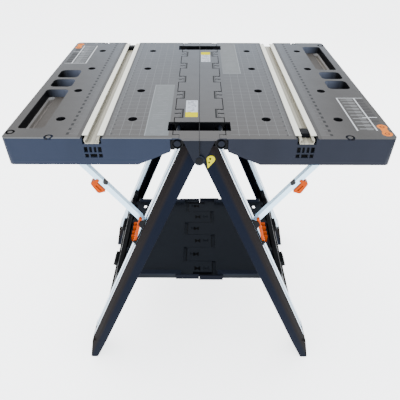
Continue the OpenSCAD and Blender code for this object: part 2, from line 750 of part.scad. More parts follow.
module strut() {
    y0 = strut_y - strut_s / 2;
    h = strut_s / 2;
    difference() {
        union() {
            run(y0, y0 + strut_s) difference() {
                union() {
                    strut_slab(0, strut_len - tip, -h, h);
                    disc(strut_u, h);
                }
                strut_slab(-strut_s, strut_len - tube_end, -h + tube_wall, h - tube_wall);
                disc(strut_u, h - tube_wall);
            }
            for (y = [y0, y0 + strut_s - tube_wall]) run(y, y + tube_wall) {
                strut_slab(0, strut_len - tip, -h, h);
                disc(strut_u, h);
            }
            // Round runner that rides in the leg's channel
            run(y0, y0 + strut_s) disc(strut_f, runner_r);
        }
        run(y0 - over, y0 + strut_s + over) disc(strut_u, strut_pin_r + free);
        // Tip cut back so that only the runner meets the leg
        run(y0 - over, y0 + strut_s + over) difference() {
            strut_slab(strut_len - cut_back[0], strut_len + cut_back[0], -h - over, h + over);
            disc(strut_f, runner_r);
            strut_slab(strut_len - cut_back[1], strut_len, -cut_back[2], cut_back[2]);
        }
    }
}
module strut_pin() {
    reach = strut_s / 2 + lug_gap + lug_t;
    run(strut_y - reach, strut_y + reach) disc(strut_u, strut_pin_r);
    for (y = [strut_y - reach - pin_head_t, strut_y + reach])
        run(y, y + pin_head_t) disc(strut_u, pin_head_r);
}
// Squeeze trigger below the strut
module trigger() {
    difference() {
        trigger_body();
        // Room for the strut when the trigger is squeezed
        run(strut_y - strut_s / 2 - trig_room[0], strut_y + strut_s / 2 + trig_room[0])
            strut_slab(trig_s[0] - over, trig_s[1] + over, 0, trig_room[1]);
    }
    // Hinge ears beside the strut
    for (y = [strut_y - trig_w, strut_y + trig_w - ear_t]) run(y, y + ear_t) {
        disc(on_strut(trig_s[0] + ear[0], ear[1]), ear[1]);
        strut_slab(trig_s[0] + ear[2], trig_s[0] + ear[3], ear[1], ear[4]);
    }
}
module trigger_body() {
    a = trig_s[0];
    b = trig_s[1];
    run(strut_y - trig_w, strut_y + trig_w) difference() {
        polygon([on_strut(a + trig_in[0], trig_t[0]), on_strut(b - trig_in[1], trig_t[0]),
            on_strut(b, trig_t[1]), on_strut(b - trig_in[2], trig_t[2]),
            on_strut(b - trig_in[3], trig_t[3]), on_strut(a + trig_in[4], trig_t[4]),
            on_strut(a, trig_t[5]), on_strut(a, trig_t[6])]);
        strut_slab(a + trig_groove[0], b - trig_groove[1], trig_groove[2], trig_groove[3]);
    }
}
// Latch lever on the leg, beside the strut's foot
module latch() {
    run(latch_y, latch_y + latch_w) difference() {
        union() {
            disc(latch_p, latch_r[0]);
            polygon([latch_p + [-latch_side[0], latch_side[1]], latch_p + [latch_side[0], -latch_side[1]],
                latch_tip + [latch_side[0], -latch_side[1]], latch_tip + [-latch_side[0], latch_side[1]]]);
            disc(latch_tip, latch_r[1]);
        }
        disc(latch_p, latch_r[2]);
    }
}
// Zinc bracket: a cheek beside the strut's foot, with the latch's pin
module latch_bracket() {
    y0 = latch_y - cheek_t - cheek_gap;
    run(y0, y0 + cheek_t) {
        leg_slab(strut_foot + cheek_a[0], strut_foot + cheek_a[1], cheek_e[0], cheek_e[2]);
        polygon([on_leg(strut_foot + cheek_ear[0], cheek_e[1]), on_leg(strut_foot + cheek_ear[1], cheek_e[1]),
            on_leg(strut_foot + cheek_ear[2], cheek_ear[4]),
            on_leg(strut_foot + cheek_ear[3], cheek_ear[4])]);
        disc(latch_p, cheek_eye);
    }
    run(y0, latch_y + latch_pin[1]) disc(latch_p, latch_pin[0]);
    run(latch_y + latch_washer[0], latch_y + latch_pin[1]) disc(latch_p, latch_washer[1]);
}

// Nodes

module c_top() { color("#6f6e6b") children(); }
module c_dark() { color("#2a3040") children(); }
module c_metal() { color("#c8d4de") children(); }
module c_cream() { color("#e6e2d2") children(); }
module c_orange() { color("#f07020") children(); }
module c_black() { color("#1c1d1f") children(); }

c_top() spine();  // left_spine
c_top() rotate([0, 0, 180]) spine();  // right_spine
c_dark() hinge_bracket(bracket_ys[0]);  // left_hinge_bracket
c_dark() at_right() hinge_bracket(bracket_ys[1]);  // right_hinge_bracket
c_dark() pivot_pins();
c_top() leaf();  // left_leaf
c_top() rotate([0, 0, 180]) leaf();  // right_leaf
c_dark() hinge_rod();  // left_hinge_rod
c_dark() at_right() hinge_rod();  // right_hinge_rod
c_cream() necked_track();  // left_track
c_cream() at_right() necked_track();  // right_track
c_black() track_stop();  // left_track_stop
c_black() rotate([0, 0, 180]) track_stop();  // right_track_stop
c_dark() leg();  // left_front_leg
c_dark() at_back() leg();  // left_back_leg
c_dark() at_right() leg();  // right_front_leg
c_dark() at_right() at_back() leg();  // right_back_leg
c_metal() channel();  // left_front_channel
c_metal() at_back() channel();  // left_back_channel
c_metal() at_right() channel();  // right_front_channel
c_metal() at_right() at_back() channel();  // right_back_channel
c_dark() foot();  // left_front_foot
c_dark() at_back() foot();  // left_back_foot
c_dark() at_right() foot();  // right_front_foot
c_dark() at_right() at_back() foot();  // right_back_foot
c_black() side_rail();  // left_side_rail
c_black() at_right() side_rail();  // right_side_rail
c_black() shelf(shelf_y - lip_ys[0]);  // left_shelf
c_black() rotate([0, 0, 180]) shelf(shelf_y - lip_ys[1]);  // right_shelf
c_metal() shelf_rod();  // left_shelf_rod
c_metal() at_right() shelf_rod();  // right_shelf_rod
c_metal() strut();  // left_front_strut
c_metal() at_back() strut();  // left_back_strut
c_metal() at_right() strut();  // right_front_strut
c_metal() at_right() at_back() strut();  // right_back_strut
c_metal() strut_pin();  // left_front_strut_pin
c_metal() at_back() strut_pin();  // left_back_strut_pin
c_metal() at_right() strut_pin();  // right_front_strut_pin
c_metal() at_right() at_back() strut_pin();  // right_back_strut_pin
c_orange() trigger();  // left_front_trigger
c_orange() at_back() trigger();  // left_back_trigger
c_orange() at_right() trigger();  // right_front_trigger
c_orange() at_right() at_back() trigger();  // right_back_trigger
c_orange() latch();  // left_front_latch
c_orange() at_back() latch();  // left_back_latch
c_orange() at_right() latch();  // right_front_latch
c_orange() at_right() at_back() latch();  // right_back_latch
c_metal() latch_bracket();  // left_front_latch_bracket
c_metal() at_back() latch_bracket();  // left_back_latch_bracket
c_metal() at_right() latch_bracket();  // right_front_latch_bracket
c_metal() at_right() at_back() latch_bracket();  // right_back_latch_bracket
c_orange() dog(-1);  // left_front_dog
c_orange() dog(1);  // left_back_dog
c_orange() at_right() dog(-1);  // right_front_dog
c_orange() at_right() dog(1);  // right_back_dog
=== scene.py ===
"""Looks of the folding workbench: camera, light, materials and printed details.

Places and sizes on the part are written in millimetres and become metres where they are used.
"""
import math

import bpy
from mathutils import Matrix, Vector


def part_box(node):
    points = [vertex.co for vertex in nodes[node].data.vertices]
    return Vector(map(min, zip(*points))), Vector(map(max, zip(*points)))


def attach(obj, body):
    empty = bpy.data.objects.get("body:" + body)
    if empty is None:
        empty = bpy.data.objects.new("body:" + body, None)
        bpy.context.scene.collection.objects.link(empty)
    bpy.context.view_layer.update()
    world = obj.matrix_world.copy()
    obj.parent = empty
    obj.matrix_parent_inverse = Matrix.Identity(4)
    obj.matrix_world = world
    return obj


MM = 0.001
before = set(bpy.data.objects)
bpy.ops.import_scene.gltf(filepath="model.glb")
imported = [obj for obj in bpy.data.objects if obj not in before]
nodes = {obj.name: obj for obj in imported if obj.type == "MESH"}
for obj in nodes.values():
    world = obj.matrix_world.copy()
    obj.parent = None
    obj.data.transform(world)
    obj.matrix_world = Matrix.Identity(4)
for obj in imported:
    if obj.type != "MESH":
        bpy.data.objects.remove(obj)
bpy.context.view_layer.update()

# The open table in metres, from its left leaf
leaf_lo, leaf_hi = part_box("left_leaf")
TOP = leaf_hi[2]
FRONT = leaf_lo[1]
BACK = leaf_hi[1]
DEPTH = BACK - FRONT

# Camera: where the photograph was taken from
CAMERA_PLACE = (0.0017, -1.0150, 1.1974)
CAMERA_DOWN = 37.59     # degrees below the horizon
CAMERA_ROLL = 0.146     # degrees
SENSOR_WIDTH = 36.0     # millimetres
LENS = 35.94            # millimetres

# Light and floor
SKY = (0.93, 0.96, 1.0)
SKY_STRENGTH = 2.6
LAMPS = (               # name, place, aim, size, power, colour
    ("key", (-1.2, 0.6, 3.2), (0, 0, 0.8), 2.4, 70, (1.0, 0.98, 0.94)),
    ("fill", (0.6, -3.0, 1.5), (0, 0, 0.5), 2.6, 60, (0.70, 0.82, 1.0)),
    ("rim", (2.4, 1.6, 1.6), (0, 0, 0.6), 1.6, 30, (1.0, 0.99, 0.97)),
)
FLOOR_SIZE = 14
FLOOR_PLACE = (0, 2, -0.0005)
FLOOR_GREY = 0.94
FLOOR_GLOW = 2.2

# Colours
GREY = (0.056, 0.0535, 0.052)
# Paler, cooler grey at the back of the top: a painted sheen
COOL_SHEEN_GREY = (0.068, 0.075, 0.086)
PALE = (0.100, 0.106, 0.110)
RIM_HIGHLIGHT = (0.085, 0.088, 0.092)
END_GREY = (0.052, 0.050, 0.050)
# On the leaves' sides these two are painted shade: the top's own plastic, darker and bluer, the
# right leaf's darker still
SLATE = (0.0118, 0.0166, 0.0305)
SLATE_RIGHT_SHADED = (0.0078, 0.0096, 0.0158)
# Pale blue of the pockets' inner walls: a painted reflection
HOLLOW_REFLECTION = (0.074, 0.084, 0.112)
TRAY_FLOOR = (0.047, 0.042, 0.038)
GROOVE_LIGHTENED = (0.165, 0.150, 0.136)
GROOVE_EDGE_HIGHLIGHT = (0.27, 0.26, 0.25)
# Painted shade in holes, recesses, gaps and on the pockets' outer walls
SHADE_BLACK = (0.0012, 0.0014, 0.002)
LINE = (0.14, 0.145, 0.15)
# Dark colour of print and small dark marks, and of painted shade in slots and screw-ring grooves
INK_AND_SHADE = (0.003, 0.003, 0.004)
WHITE_INK = (0.36, 0.37, 0.38)
ORANGE = (0.34, 0.042, 0.0003)
EMBLEM = (0.46, 0.115, 0.0008)
YELLOW = (0.42, 0.37, 0.0002)

# Colours of the other pieces, two of each that a noise blends
COAT = ((0.0036, 0.0050, 0.0095), (0.0048, 0.0064, 0.0120))
COAT_EDGE = (0.0094, 0.0080, 0.0080)
BLACK = ((0.0024, 0.0027, 0.0033), (0.0042, 0.0046, 0.0054))
# Strut: pale metal tinted blue by a painted reflection
STRUT_METAL_AND_REFLECTION = ((0.50, 0.70, 0.85), (0.56, 0.77, 0.92))
SHELF = ((0.0090, 0.0106, 0.0136), (0.0118, 0.0138, 0.0172))
SHELF_RECESS_SHADE = (0.0003, 0.0003, 0.0003)
SHELF_RIM = (0.0080, 0.0100, 0.0165)
SHELF_LIP = (0.0036, 0.0046, 0.0080)
TRACK_FLANGE = ((0.52, 0.51, 0.44), (0.60, 0.59, 0.52))
TRACK_FLOOR = (0.235, 0.218, 0.168)
TRACK_LINE = (0.12, 0.11, 0.085)
TRACK_RIDGE = (0.28, 0.26, 0.20)
LABEL_WHITE = (0.33, 0.35, 0.38)
LABEL_GREY = (0.13, 0.135, 0.155)

# Surface of the moulded top, and the drawn metal's streaks
TOP_ROUGHNESS = 0.52
TOP_SPECULAR = 0.08
STREAK_SCALE = 400.0
ALONG_Y, ALONG_Z = (1, 0.02, 1), (1, 1, 0.05)

# Places on a leaf. U is negative and runs outwards from the spine. V runs from the front edge
# of the left leaf and from the back edge of the right one. Depths lie under the top's face,
# the deeper one first.
FACE_DEPTH = 0.4
SIDE_DEPTH = 0.7
SHADE_START, SHADE_LENGTH = 235, 85
PRINTED_V = (12, 623)
PANEL_U, PANEL_V = (-110.5, -62), (12, 277)
PANEL_SIDE_U, PANEL_END_V = (-110.5, -108.5), (275, 277)
PANEL_ROWS_U = (-102, -72)
GRID_U = (-186, -64)
GRID_PITCH = 20
GRID_LINE = 0.9
OUTER_TICKS_U, INNER_TICKS_U, LONG_TICKS_U = (-255, -243), (-187, -179), (-264, -243)
OUTER_BAND_U, INNER_BAND_U = (-243, -236), (-192, -188)
OUTER_DASHES_U, INNER_DASHES_U = (-268, -262), (-179, -175)
SLIT_U, SLIT_HALF_WIDTH, SLIT_DEPTH = (-54.5, -40), 2.3, 2
BOX_U, BOX_V = (-384, -322), (436, 600)
BONE_U, BONE_V = -379, 598
BONE_HALF_LENGTH, BONE_HALF_WIDTH, BONE_KNOB = 15, 7, 10.5
BONE_SCREW = (3.0, 5.0)
HOLLOWS_U, HOLLOWS_V = (-375.5, -319), (41, 383)
LINING_START, LINING_LENGTH = -372, 34
TRAY_U, TRAY_DEPTH = (-376, -319), (20.5, 19.5)
RIM_WIDTH = 3.2
GROOVE_U, GROOVE_V = (-378, -354), (38, 251)
GROOVE_DEPTH, GROOVE_EDGE_DEPTH = (40, 20.6), (27, 20.6)
OUTER_ROW_U, INNER_ROW_U = -297, -143
HOLE_PITCH = 154.6
HOLE_SHIFT = 2 * HOLE_PITCH - 317.5
HOLE_PAINT_RADIUS = 10.7
GRILLE_U, GRILLE_ENDS_V = (-241, -187), ((5.5, 17), (618, 629.5))
WEB_U, WEB_ENDS_V = (-64, -31), ((4.7, 22), (613, 630.3))
END_KNUCKLE_U, END_KNUCKLES_V, END_KNUCKLE_DEPTH = -58, (6, 629), 4
HAND_SLOTS_U, HAND_SLOTS_V = -66, (32, 603)
RINGS = ((-383, 26), (-309.5, 6.5), (-309.5, 628.5))
RING_RADII, RING_DEPTH, RING_V = (4.6, 9.9), (3.6, 0.5), (0.8, 634.2)

# Knuckles of the leaves, one in the middle of each cell along Y
KNUCKLE_PITCH = 101.5
KNUCKLE_SHIFT = (4 + 0.5) * KNUCKLE_PITCH
KNUCKLE_ROW_END = 240

# Places on the other pieces
LEG_LEAN = 23.2         # degrees
LEG_EDGE_X, LEG_EDGE_DEPTH = 33, 24
COAT_BLEND = (-22, -14)
PLUG_X, PLUG_DEPTH, PLUG_RADIUS = 213.5, 141.3, 7
TIE_PITCH = 125
TIE_SHIFT = 187.5 - 31.25 + TIE_PITCH / 2
TIE_HALF_LENGTH, TIE_FLARE, TIE_WAIST = 9, 0.8, 2.5
SHELF_FLOOR_HEIGHT, SHELF_RIM_WIDTH, SHELF_LIP_Y = 14, 4, 190
TRACK_X, TRACK_FLANGE_DEPTH = 214, 1.2
TRACK_LINES_U, TRACK_RIDGE_U = ((-5.2, -4.0), (4.4, 5.6)), (0.2, 2.2)
OUTLINE_TIP_X, OUTLINE_HALF_WIDTH = (34.6, 38.2), 23
OUTLINE_FLANK_X, OUTLINE_FLANK_WIDTHS = 37, (19, 22.8)
LABEL_PLATE, LABEL_ROUNDING = (-30.7, 96.3, -3.8, 183.7), 1.2
LABEL_DEPTH = (0.58, 0.15)
LABEL_YELLOW_START = 120
LABEL_RULES_X = (7, 27)
DROP_CENTRE, DROP_TIP, DROP_RADIUS = (24.5, 752), (18.0, 729), 9
DROP_LIFT, DOT_LIFT, DROP_SINK = 0.35, 0.6, 0.02
UPPER_DOT, LOWER_DOT = ((-1.5, 1), 2.2), ((-3.5, -8), 2.0)      # place and radius
SEAM_HALF_WIDTH, SEAM_END, SEAM_ROUNDING, SEAM_DEPTH = 0.8, 1.2, 0.5, (42, 1.6)
LINER_THICKNESS, LINER_ROUNDING = 1, 3
SMALL_BEVEL, LARGE_BEVEL, WELD = 0.5, 1.0, 0.01

# Input and output sockets of a colour mix
MIX_A, MIX_B, MIX_RESULT = 6, 7, 2


def tint(colour, factor):
    return tuple(c * factor for c in colour)


def polar(radius, angle):
    return radius * Vector((math.cos(angle), math.sin(angle)))


def add_camera():
    data = bpy.data.cameras.new("camera")
    data.sensor_width = SENSOR_WIDTH
    data.lens = LENS
    cam = bpy.data.objects.new("camera", data)
    cam.matrix_world = (
        Matrix.Translation(CAMERA_PLACE)
        @ Matrix.Rotation(math.radians(90 - CAMERA_DOWN), 4, "X")
        @ Matrix.Rotation(math.radians(CAMERA_ROLL), 4, "Z")
    )
    bpy.context.scene.collection.objects.link(cam)
    bpy.context.scene.camera = cam


def add_area(name, place, aim, size, power, colour):
    data = bpy.data.lights.new(name, "AREA")
    data.shape = "SQUARE"
    data.size = size
    data.energy = power
    data.color = colour
    lamp = bpy.data.objects.new(name, data)
    lamp.location = place
    lamp.rotation_euler = (Vector(aim) - Vector(place)).to_track_quat("-Z", "Y").to_euler()
    bpy.context.scene.collection.objects.link(lamp)


def add_stage():
    world = bpy.data.worlds.new("studio")
    bpy.context.scene.world = world
    world.use_nodes = True
    sky = world.node_tree.nodes["Background"]
    sky.inputs["Color"].default_value = (*SKY, 1)
    sky.inputs["Strength"].default_value = SKY_STRENGTH
    for lamp in LAMPS:
        add_area(*lamp)
    bpy.ops.mesh.primitive_plane_add(size=FLOOR_SIZE, location=FLOOR_PLACE)
    floor = bpy.context.object
    floor.name = "floor"
    mat = bpy.data.materials.new("floor")
    mat.use_nodes = True
    shader = mat.node_tree.nodes["Principled BSDF"]
    shader.inputs["Base Color"].default_value = (FLOOR_GREY, FLOOR_GREY, FLOOR_GREY, 1)
    shader.inputs["Roughness"].default_value = 0.9
    shader.inputs["Emission Color"].default_value = (1, 1, 1, 1)
    shader.inputs["Emission Strength"].default_value = FLOOR_GLOW
    floor.data.materials.append(mat)


class Shader:
    """One material, painted in layers with masks from the piece's own coordinates."""

    def __init__(self, name, colour, roughness, metallic=0.0, specular=0.5):
        self.mat = bpy.data.materials.new(name)
        self.mat.use_nodes = True
        self.tree = self.mat.node_tree
        self.bsdf = self.tree.nodes["Principled BSDF"]
        self.set("Base Color", (*colour, 1))
        self.set("Roughness", roughness)
        self.set("Metallic", metallic)
        self.set("Specular IOR Level", specular)
        # The shaded point in the piece's own frame, in metres
        self.where = self.node("ShaderNodeTexCoord").outputs["Object"]
        split = self.node("ShaderNodeSeparateXYZ", Vector=self.where)
        self.x, self.y, self.z = split.outputs["X"], split.outputs["Y"], split.outputs["Z"]
        self.colour = colour

    def feed(self, target, value):
        if isinstance(value, bpy.types.NodeSocket):
            self.tree.links.new(value, target)
        else:
            target.default_value = value

    def set(self, socket, value):
        self.feed(self.bsdf.inputs[socket], value)

    def node(self, kind, **inputs):
        made = self.tree.nodes.new(kind)
        for key, value in inputs.items():
            self.feed(made.inputs[key], value)
        return made

    def maths(self, operation, a, b=0.0, c=0.0):
        made = self.tree.nodes.new("ShaderNodeMath")
        made.operation = operation
        for target, value in zip(made.inputs, (a, b, c)):
            self.feed(target, value)
        return made.outputs[0]

    # Values
    def size(self, value):
        return self.maths("ABSOLUTE", value)

    def past(self, value, start):
        """How far value lies past a start in millimetres."""
        return self.maths("SUBTRACT", value, start * MM)

    def clamp(self, value):
        return self.node("ShaderNodeClamp", Value=value).outputs[0]

    def squares(self, a, b):
        return self.maths("ADD", self.maths("MULTIPLY", a, a), self.maths("MULTIPLY", b, b))

    def distance(self, a, b):
        return self.maths("SQRT", self.squares(a, b))

    def from_cell_middle(self, value, shift, pitch):
        """How far value lies from the middle of its cell, in cells of one pitch."""
        shifted = self.maths("ADD", value, shift * MM)
        step = self.maths("FLOORED_MODULO", shifted, pitch * MM)
        return self.maths("SUBTRACT", step, pitch / 2 * MM)

    # Masks, with their limits in millimetres
    def less(self, value, limit):
        return self.maths("LESS_THAN", value, limit * MM)

    def more(self, value, limit):
        return self.maths("GREATER_THAN", value, limit * MM)

    def within(self, value, low, high):
        return self.maths("MULTIPLY", self.more(value, low), self.less(value, high))

    def above(self, depth):
        """Whatever is higher than a depth under the top's face."""
        return self.maths("GREATER_THAN", self.z, TOP - depth * MM)

    def below(self, depth):
        return self.maths("LESS_THAN", self.z, TOP - depth * MM)

    def layer(self, deep, shallow):
        return self.maths("MULTIPLY", self.above(deep), self.below(shallow))

    def comb(self, value, start, pitch, width):
        """Lines across value, one every pitch from start."""
        shifted = self.maths("SUBTRACT", value, start * MM - width * MM / 2)
        step = self.maths("FLOORED_MODULO", shifted, pitch * MM)
        return self.maths("LESS_THAN", step, width * MM)

    def speckles(self, scale, share):
        return self.maths("GREATER_THAN", self.noise(scale), share)

    def both(self, *masks):
        made = masks[0]
        for other in masks[1:]:
            made = self.maths("MULTIPLY", made, other)
        return made

    def either(self, *masks):
        made = masks[0]
        for other in masks[1:]:
            made = self.maths("MAXIMUM", made, other)
        return made

    # Colours and surface
    def mix(self, mask, a, b):
        made = self.tree.nodes.new("ShaderNodeMix")
        made.data_type = "RGBA"
        self.feed(made.inputs["Factor"], mask)
        for socket, value in ((MIX_A, a), (MIX_B, b)):
            plain = not isinstance(value, bpy.types.NodeSocket)
            self.feed(made.inputs[socket], (*value, 1) if plain else value)
        return made.outputs[MIX_RESULT]

    def paint(self, mask, colour):
        """Lays a colour over what is painted so far, where the mask says so."""
        self.colour = self.mix(mask, self.colour, colour)

    def mix_value(self, mask, a, b):
        return self.maths("ADD", self.maths("MULTIPLY", mask, b - a), a)

    def noise(self, scale, detail=3.0, stretch=(1, 1, 1)):
        mapped = self.node("ShaderNodeMapping", Vector=self.where)
        mapped.inputs["Scale"].default_value = stretch
        made = self.node("ShaderNodeTexNoise", Vector=mapped.outputs[0], Scale=scale,
                         Detail=detail)
        return made.outputs["Fac"]

    def mottle(self, scale, a, b):
        """Starts the paint with two colours that a noise blends."""
        self.colour = self.mix(self.noise(scale), a, b)

    def top_tone(self):
        """Grey of the top: warmer at the front, cooler and paler towards the back as a painted
        sheen.
        """
        depth = self.maths("ADD", self.maths("DIVIDE", self.y, DEPTH), 0.5)
        tone = self.mix(depth, GREY, COOL_SHEEN_GREY)
        lighter = self.mix(depth, tint(GREY, 1.12), tint(COOL_SHEEN_GREY, 1.12))
        self.mottle(6.0, tone, lighter)

    def bump(self, height, strength, distance):
        """Bump from a height, with its distance in millimetres."""
        made = self.node("ShaderNodeBump", Height=height, Strength=strength,
                         Distance=distance * MM)
        self.set("Normal", made.outputs["Normal"])

    def grain(self, scale, strength, distance):
        self.bump(self.noise(scale, 2.0), strength, distance)

    def vary_roughness(self, base, scale, amount):
        swing = self.maths("MULTIPLY", self.maths("SUBTRACT", self.noise(scale), 0.5), amount)
        self.set("Roughness", self.maths("ADD", swing, base))

    def done(self):
        self.set("Base Color", self.colour)
        return self.mat


# Layers of a leaf's material, in the order in which they are painted
def shade_corner(s, face, left):
    """Darker towards the outer front corner."""
    outer = s.clamp(s.maths("DIVIDE", s.past(s.size(s.x), SHADE_START), SHADE_LENGTH * MM))
    near = s.clamp(s.maths("SUBTRACT", 0.7, s.maths("DIVIDE", s.y, DEPTH)))
    corner = s.both(outer, near, face) if left else s.both(outer, near)
    s.paint(corner, tint(GREY, 0.76 if left else 0.68))


def print_panel_and_grid(s, u, v, face):
    """Smooth paler panel beside the spine, with the grid round it."""
    panel = s.both(face, s.within(u, *PANEL_U), s.within(v, *PANEL_V))
    border = s.both(panel, s.either(s.within(u, *PANEL_SIDE_U), s.within(v, *PANEL_END_V)))
    rows = s.both(panel, s.comb(v, start=0, pitch=9, width=2.4), s.within(u, *PANEL_ROWS_U),
                  s.speckles(60.0, share=0.5))
    lines = s.either(s.comb(u, start=0, pitch=GRID_PITCH, width=GRID_LINE),
                     s.comb(v, start=17.5, pitch=GRID_PITCH, width=GRID_LINE))
    grid = s.both(face, s.within(u, *GRID_U), s.within(v, *PRINTED_V), lines,
                  s.maths("SUBTRACT", 1.0, panel))
    s.paint(s.both(grid, 0.55), LINE)
    s.paint(panel, PALE)
    s.paint(border, tint(PALE, 1.5))
    s.paint(s.both(rows, 0.4), tint(PALE, 1.6))


def print_scales(s, u, v, face):
    """Ticks, darker bands and short dashes along both sides of the track."""
    printed = s.both(face, s.within(v, *PRINTED_V))
    fine = s.both(s.comb(v, start=0, pitch=5, width=0.7),
                  s.either(s.within(u, *OUTER_TICKS_U), s.within(u, *INNER_TICKS_U)))
    coarse = s.both(s.comb(v, start=0, pitch=GRID_PITCH, width=GRID_LINE),
                    s.within(u, *LONG_TICKS_U))
    s.paint(s.both(printed, s.either(fine, coarse), 0.5), LINE)
    bands = s.either(s.within(u, *OUTER_BAND_U), s.within(u, *INNER_BAND_U))
    s.paint(s.both(face, bands, 0.5), tint(GREY, 0.55))
    outer = s.both(s.comb(v, start=GRID_PITCH, pitch=GRID_PITCH, width=10),
                   s.within(u, *OUTER_DASHES_U))
    inner = s.both(s.comb(v, start=GRID_PITCH, pitch=GRID_PITCH, width=6),
                   s.within(u, *INNER_DASHES_U), 0.6)
    s.paint(s.both(printed, s.either(outer, inner), 0.8), INK_AND_SHADE)


def split_knuckles(s, u):
    """Dark line of painted shade along the slot that splits each knuckle."""
    away = s.size(s.from_cell_middle(s.y, KNUCKLE_SHIFT, KNUCKLE_PITCH))
    s.paint(s.both(s.less(away, SLIT_HALF_WIDTH), s.within(u, *SLIT_U),
                   s.less(s.size(s.y), KNUCKLE_ROW_END), s.above(SLIT_DEPTH)), INK_AND_SHADE)


def print_box(s, u, v, face, left):
    """Ruled box near the outer back corner, with rows and bars but no text."""
    inside = s.both(face, s.within(u, *BOX_U), s.within(v, *BOX_V))
    side_rule = s.within(u, -325, -322)
    middle_rule = s.within(u, -365, -362)
    end_rule = s.within(v, 436, 438)
    short_rule = s.both(s.within(v, 538, 540.5), s.less(u, -352))
    long_rows = s.both(s.comb(v, start=448, pitch=16, width=2.2), s.within(u, -360, -330))
    short_rows = s.both(s.comb(v, start=452, pitch=8, width=1.4), s.within(u, -357, -344))
    wide_bars = s.both(s.comb(v, start=453, pitch=15, width=11), s.within(u, -382, -366))
    thin_bars = s.both(s.comb(v, start=446, pitch=10, width=5), s.within(u, -361.6, -359.6))
    barred = s.less(v, 572)
    s.paint(s.both(inside, s.either(long_rows, short_rows), 0.4), WHITE_INK)
    s.paint(s.both(inside, s.either(wide_bars, thin_bars), barred, 0.8 if left else 0.4), INK_AND_SHADE)
    s.paint(s.both(inside, s.either(side_rule, middle_rule, end_rule, short_rule)), WHITE_INK)


def print_bone(s, u, v, face):
    """Plain orange bone with two dark screw heads in the outer back corner."""
    du = s.past(u, BONE_U)
    dv = s.past(s.size(s.past(v, BONE_V)), BONE_HALF_LENGTH)
    knob = s.distance(du, dv)
    neck = s.both(s.less(dv, 0), s.less(s.size(du), BONE_HALF_WIDTH))
    s.paint(s.both(face, s.either(s.less(knob, BONE_KNOB), neck)), EMBLEM)
    s.paint(s.both(face, s.within(knob, *BONE_SCREW)), tint(ORANGE, 0.25))


def paint_hollows(s, u, v, face, under):
    """Tray and pockets: painted shade on the outer walls turning to a bluer painted reflection
    to the inside, brown on the tray's floor.
    """
    lined = s.both(under, s.within(u, *HOLLOWS_U), s.within(v, *HOLLOWS_V))
    across = s.clamp(s.maths("MULTIPLY", s.past(u, LINING_START), 1 / (LINING_LENGTH * MM)))
    # Painted shade on the outer walls, turning to a painted reflection towards the inside
    s.paint(lined, s.mix(across, SHADE_BLACK, HOLLOW_REFLECTION))
    hollow = s.both(s.within(u, *TRAY_U), s.within(v, *HOLLOWS_V))
    s.paint(s.both(s.layer(*TRAY_DEPTH), hollow), TRAY_FLOOR)
    # Painted highlight along the front edge of the top
    s.paint(s.both(face, s.less(v, RIM_WIDTH)), RIM_HIGHLIGHT)
    # The groove is painted far paler than the floor, as painted light that cancels its shade, so
    # it shows as a continuation of the floor, with a painted highlight along its edge
    groove = s.both(s.layer(*GROOVE_DEPTH), s.within(u, *GROOVE_U), s.within(v, *GROOVE_V))
    s.paint(groove, GROOVE_LIGHTENED)
    s.paint(s.both(groove, s.layer(*GROOVE_EDGE_DEPTH)), GROOVE_EDGE_HIGHLIGHT)


def shade_holes(s, u, v, under):
    """Painted shade on the walls of the dog holes."""
    row = s.maths("MINIMUM", s.size(s.past(u, OUTER_ROW_U)), s.size(s.past(u, INNER_ROW_U)))
    column = s.from_cell_middle(v, HOLE_SHIFT, HOLE_PITCH)
    hole = s.maths("LESS_THAN", s.squares(row, column), (HOLE_PAINT_RADIUS * MM) ** 2)
    s.paint(s.both(hole, under), SHADE_BLACK)


def shade_recesses(s, u, v, under):
    """Painted shade in the recess under the track, on the walls behind the grille and the
    knuckles, and in the hand slots.
    """
    grille = s.both(s.either(*(s.within(v, *end) for end in GRILLE_ENDS_V)),
                    s.within(u, *GRILLE_U))
    web = s.both(s.either(*(s.within(v, *end) for end in WEB_ENDS_V)), s.within(u, *WEB_U))
    inner = s.both(under, s.either(grille, web))
    front, back = END_KNUCKLES_V
    end_knuckles = s.both(s.below(END_KNUCKLE_DEPTH), s.more(u, END_KNUCKLE_U),
                          s.either(s.less(v, front), s.more(v, back)))
    slots = s.both(under, s.more(u, HAND_SLOTS_U), s.within(v, *HAND_SLOTS_V))
    s.paint(s.either(inner, slots, end_knuckles), SHADE_BLACK)


def shade_rings(s, u, v):
    """Painted shade in the groove round each screw head."""
    rings = [s.within(s.distance(s.past(u, ring_u), s.past(v, ring_v)), *RING_RADII)
             for ring_u, ring_v in RINGS]
    s.paint(s.both(s.either(*rings), s.layer(*RING_DEPTH), s.within(v, *RING_V)), INK_AND_SHADE)


def leaf_material(side):
    """Moulded top with a printed grid, ruler marks, a ruled box and an orange bone."""
    left = side == "left"
    slate = SLATE if left else SLATE_RIGHT_SHADED
    turn = 1.0 if left else -1.0
    s = Shader(f"{side}_top_plastic", GREY, TOP_ROUGHNESS, specular=TOP_SPECULAR)
    u = s.maths("MULTIPLY", s.x, turn)
    v = s.maths("SUBTRACT", s.maths("MULTIPLY", s.y, turn), FRONT)
    face = s.above(FACE_DEPTH)
    s.top_tone()
    shade_corner(s, face, left)
    print_panel_and_grid(s, u, v, face)
    print_scales(s, u, v, face)
    split_knuckles(s, u)
    print_box(s, u, v, face, left)
    print_bone(s, u, v, face)
    # Painted shade: the sides below the face are the top's own plastic painted darker and bluer,
    # the right leaf's darker still
    under = s.below(SIDE_DEPTH)
    streaks = s.noise(14.0, stretch=(1, 1, 0.25))
    s.paint(under, s.mix(streaks, tint(slate, 0.82), tint(slate, 1.22)))
    paint_hollows(s, u, v, face, under)
    shade_holes(s, u, v, under)
    shade_recesses(s, u, v, under)
    shade_rings(s, u, v)
    s.vary_roughness(TOP_ROUGHNESS, scale=40.0, amount=0.12)
    s.grain(900.0, strength=0.25, distance=0.4)
    return s.done()


